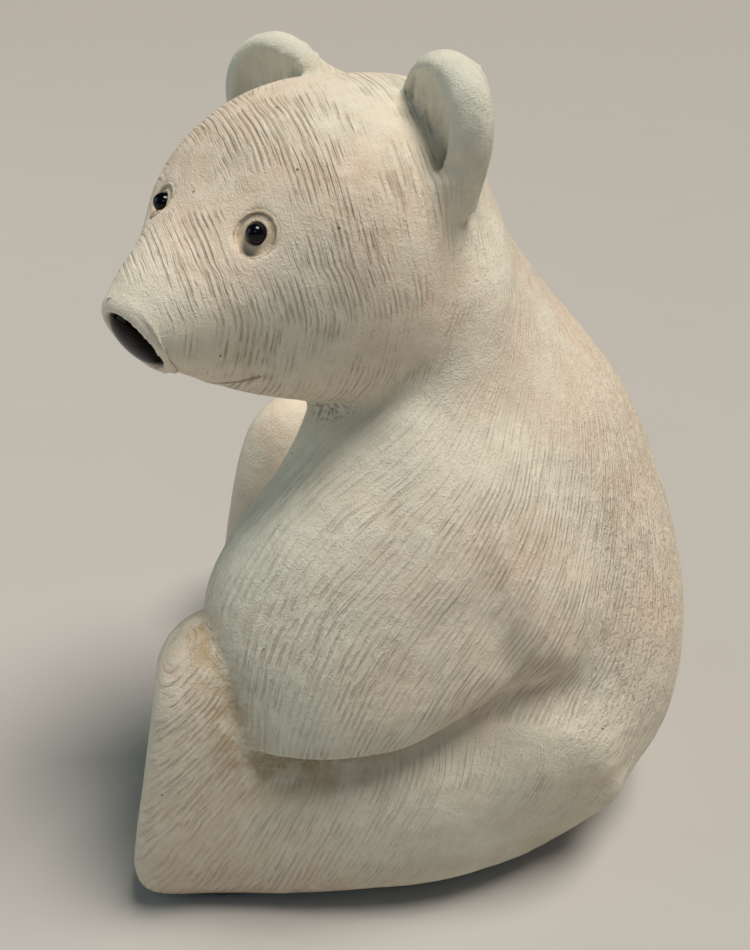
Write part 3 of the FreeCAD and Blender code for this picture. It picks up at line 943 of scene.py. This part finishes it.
# its rim is a roll of slip: a lip over the glass, by depth and growth, and a
# skirt on the clay, which also says how proud it stands
NOSE_LIP = ((-1.20, -0.05), (-0.20, -0.10), (0.25, -0.04), (0.56, 0.14), (0.70, 0.42),
            (0.68, 0.76), (0.48, 1.06), (0.14, 1.28))
NOSE_SKIRT = ((-0.50, 1.40, 0.18), (-1.30, 1.40, 0.09), (-2.10, 1.30, 0.04), (-2.90, 1.20, 0.00),
              (-3.50, 1.15, -0.08), (-3.60, 1.00, -0.60))
rows = [nose_row(d, grow=g) for d, g in NOSE_LIP]
rows += [on_skin(nose_row(d, grow=g), proud) for d, g, proud in NOSE_SKIRT]
finish_piece("slip_nose_rim", loop_mesh("nose_rim_slip", rows, True), "nose_rim", SLIP)


# ---------------------------------------------------------------- felt pads
FOOT_PAD_HALF = (5.4, 11.0)          # half width and half length
SEAT_SQUARENESS = 2.2
FOOT_SQUARENESS = 2.4
CUT_BACK = 0.08      # how far the soft edge stays inside the pad's outline
FUZZ = 0.05
PIN = 0.02           # radius of the middle of a pad with no hole

# share of the way from the middle to the edge, and height as a share of the felt's
PAD_PROFILE = ((0.0, 0.96), (0.35, 0.97), (0.7, 0.97), (0.96, 0.96), (0.995, 0.80), (1.0, 0.50),
               (0.99, 0.20), (0.96, 0.04), (0.7, 0.02), (0.35, 0.02), (0.0, 0.04))


def felt_pad(name, u, v, half_u, half_v, power, hole):
    """A cut felt pad with soft edges; hole is the radius left open, or 0."""
    rng = np.random.default_rng(SEED + len(name))
    centre = middle(name)
    centre[2] = 0.0
    edge = oval(centre, u, v, half_u - CUT_BACK, half_v - CUT_BACK, power)
    fuzz = rng.uniform(-FUZZ, FUZZ, len(TURN))[:, None] * unit(edge[0] - centre)
    start = oval(np.array([BODY_X, BODY_Y, 0.0]) if hole else centre, u, v,
                 max(hole, PIN), max(hole, PIN))
    rows = []
    for share, height in PAD_PROFILE:
        row = start * (1.0 - share) + edge * share + fuzz * share
        rows.append(row + UP * (height * PAD))
    mesh = loop_mesh(name + "_felt", rows, hole > 0.0)
    finish_piece("felt_" + name, mesh, name, FELT)


seat_low, seat_high = node_box("seat_pad")
half = (seat_high - seat_low) / 2.0
felt_pad("seat_pad", np.array([1.0, 0.0, 0.0]), np.array([0.0, 1.0, 0.0]),
         half[0], half[1], SEAT_SQUARENESS, VENT_RADIUS)
for word, side in SIDES:
    pad = middle(word + "_foot_pad")
    splay = math.atan2(side * (pad[0] - BODY_X) - HIP[0], HIP[1] - (pad[1] - BODY_Y))
    along = np.array([side * math.sin(splay), -math.cos(splay), 0.0])
    out = np.array([-along[1], along[0], 0.0])
    felt_pad(word + "_foot_pad", out, along, *FOOT_PAD_HALF, FOOT_SQUARENESS, 0.0)


# ---------------------------------------------------------------- floor, light and camera
FLOOR_REACH = 6.0        # metres
FLOOR_DROP = 0.1 * MM    # keeps the floor just clear of the felt
LOOK_HEIGHT = 0.06       # metres, the height that the lamps aim at


def pale_floor():
    mesh = bpy.data.meshes.new("floor")
    corners = [(FLOOR_REACH * x, FLOOR_REACH * y, 0.0)
               for x, y in ((-1, -1), (1, -1), (1, 1), (-1, 1))]
    mesh.from_pydata(corners, [], [(0, 1, 2, 3)])
    floor = bpy.data.objects.new("floor", mesh)
    bpy.context.scene.collection.objects.link(floor)
    floor.location.z = -FLOOR_DROP
    g = Graph("pale_floor")
    mottle = g.noise(40.0, 2.0)
    g.set(colour=g.blend(g.times(mottle, 0.4), rgb(184, 181, 177), rgb(174, 171, 167)),
          rough=g.ramp(mottle, 0.2, 0.8, 0.72, 0.82), specular=0.2)
    mesh.materials.append(g.material)


def lamp(name, kind, place, power, colour, **sizes):
    """A lamp aimed at the cub; sizes are its own settings."""
    light = bpy.data.lights.new(name, kind)
    light.energy = power
    light.color = colour
    for key, value in sizes.items():
        setattr(light, key, value)
    obj = bpy.data.objects.new(name, light)
    obj.location = place
    bpy.context.scene.collection.objects.link(obj)
    aim = Vector((BODY_X * MM, BODY_Y * MM, LOOK_HEIGHT)) - obj.location
    obj.rotation_euler = aim.to_track_quat("-Z", "Y").to_euler()


pale_floor()
lamp("overhead_key", "SUN", (0.02, 0.30, 0.95), 3.4, (1.0, 0.94, 0.85), angle=0.45)
lamp("window_fill", "AREA", (0.12, -0.85, 0.42), 1.6, (0.76, 0.95, 1.0), shape="SQUARE", size=0.6)
lamp("eye_light", "AREA", (0.48, 0.07, 0.46), 0.25, (0.45, 0.80, 1.0), shape="SQUARE", size=0.16)
world = bpy.data.worlds.new("studio")
bpy.context.scene.world = world
world.use_nodes = True
background = world.node_tree.nodes["Background"]
background.inputs["Color"].default_value = (1.0, 0.97, 0.94, 1.0)
background.inputs["Strength"].default_value = 0.03

CAMERA_OUT = 150.0       # from the body's middle towards its left
CAMERA_HEIGHT = 136.0    # above the table
CAMERA_AZIMUTH = math.radians(96.6)
CAMERA_PITCH = math.radians(28.6)
FOCAL_LENGTH = 41.68
SENSOR_WIDTH = 36.0
lens = bpy.data.cameras.new("camera")
lens.lens = FOCAL_LENGTH
lens.sensor_width = SENSOR_WIDTH
lens.clip_start = 0.01
camera = bpy.data.objects.new("camera", lens)
camera.location = ((BODY_X + CAMERA_OUT) * MM, BODY_Y * MM, CAMERA_HEIGHT * MM)
camera.rotation_euler = (math.pi / 2 - CAMERA_PITCH, 0.0, CAMERA_AZIMUTH)
bpy.context.scene.collection.objects.link(camera)
bpy.context.scene.camera = camera
bpy.context.scene.view_settings.view_transform = "Standard"
